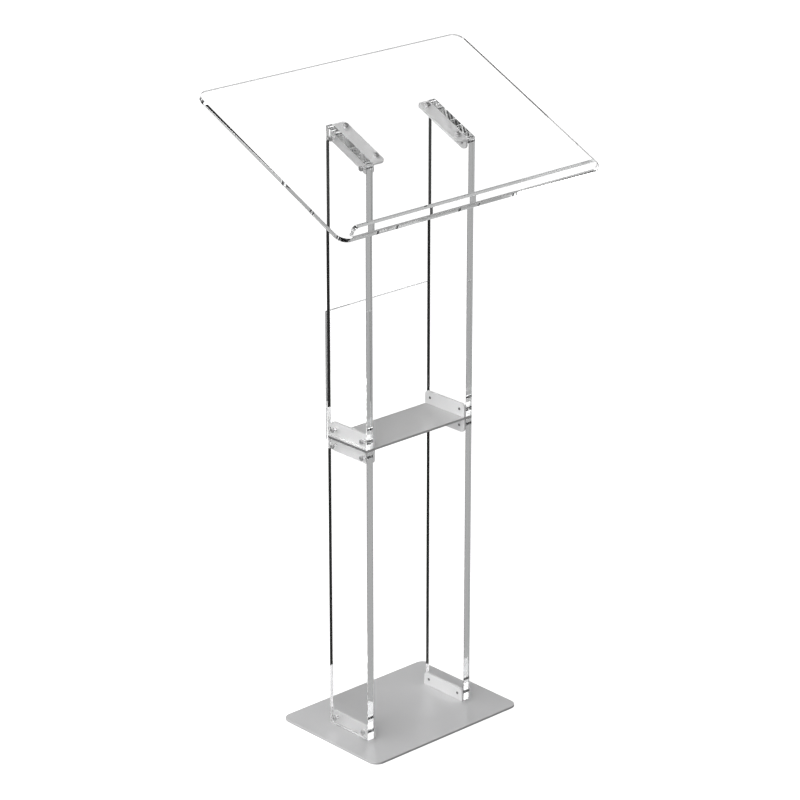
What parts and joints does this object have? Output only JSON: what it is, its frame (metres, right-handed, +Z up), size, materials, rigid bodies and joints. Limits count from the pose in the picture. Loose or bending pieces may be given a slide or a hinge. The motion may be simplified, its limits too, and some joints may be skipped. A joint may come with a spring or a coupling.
{
  "type": "lectern",
  "caption": "Free-standing clear lectern: sloped reading top with a book rest on upright side boards, a metal shelf with a clear back board, and a flat metal base.",
  "frame": {"origin": "on the floor, at the middle of the base plate's underside", "axes": "+Z up, +Y away from the reader, +X to the reader's right"},
  "size_m": [0.6, 0.3735, 1.1769],
  "materials": {
    "metal": "satin silver-grey paint",
    "acrylic": "clear, polished edges",
    "screw_steel": "bright"
  },
  "bodies": {
    "root": {"base_plate": "metal", "shelf_plate": "metal", "base_flange_left": "metal", "base_flange_right": "metal", "shelf_lower_flange_left": "metal", "shelf_lower_flange_right": "metal", "shelf_upper_flange_left": "metal", "shelf_upper_flange_right": "metal", "top_bracket_left": "metal", "top_bracket_right": "metal", "side_panel_lower_left": "acrylic", "side_panel_lower_right": "acrylic", "side_panel_upper_left": "acrylic", "side_panel_upper_right": "acrylic", "back_panel": "acrylic", "reading_top": "acrylic", "book_rest": "acrylic", "screw_base_left_front": "screw_steel", "screw_base_left_rear": "screw_steel", "screw_base_right_front": "screw_steel", "screw_base_right_rear": "screw_steel", "screw_shelf_lower_left_front": "screw_steel", "screw_shelf_lower_left_rear": "screw_steel", "screw_shelf_lower_right_front": "screw_steel", "screw_shelf_lower_right_rear": "screw_steel", "screw_shelf_upper_left_front": "screw_steel", "screw_shelf_upper_left_rear": "screw_steel", "screw_shelf_upper_right_front": "screw_steel", "screw_shelf_upper_right_rear": "screw_steel", "screw_bracket_left_front": "screw_steel", "screw_bracket_left_rear": "screw_steel", "screw_bracket_right_front": "screw_steel", "screw_bracket_right_rear": "screw_steel", "screw_top_left_front": "screw_steel", "screw_top_left_rear": "screw_steel", "screw_top_right_front": "screw_steel", "screw_top_right_rear": "screw_steel"}
  },
  "joints": []
}
